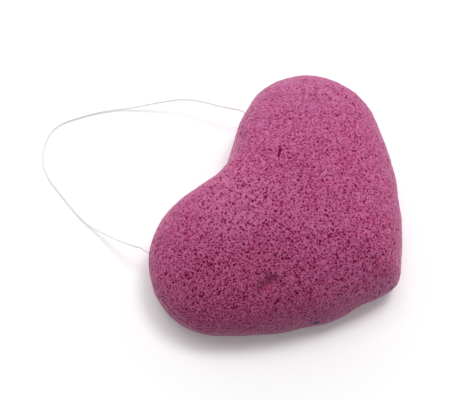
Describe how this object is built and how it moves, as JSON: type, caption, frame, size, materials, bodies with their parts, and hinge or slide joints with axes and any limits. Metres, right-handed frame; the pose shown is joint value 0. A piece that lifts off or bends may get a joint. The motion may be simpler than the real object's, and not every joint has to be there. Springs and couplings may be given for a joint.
{
  "type": "konjac sponge",
  "caption": "Heart-shaped domed foam facial sponge with a flat back and a thin white hanging string looped through its two lobes.",
  "frame": {"origin": "middle of the flat back's box, on the surface that the sponge lies on", "axes": "+X across the two lobes to the right lobe, +Y from the tip to the notch, +Z from the flat back up to the crown"},
  "size_m": [0.0882, 0.1154, 0.0285],
  "materials": {
    "foam": "matte, fine open pores, slightly smoother skin at the rim",
    "string": "matte twisted cotton"
  },
  "bodies": {
    "sponge": {"sponge_heart": "foam", "string_leg_right": "string", "string_leg_left": "string", "string_knot": "string"},
    "loop": {"string_loop": "string"}
  },
  "joints": [
    {"name": "string_swing", "type": "hinge", "parent": "sponge", "child": "loop", "pos_m": [-0.00555, 0.0341, 0.0087], "axis": [1, 0, 0], "range_deg": [-85, 95]}
  ]
}
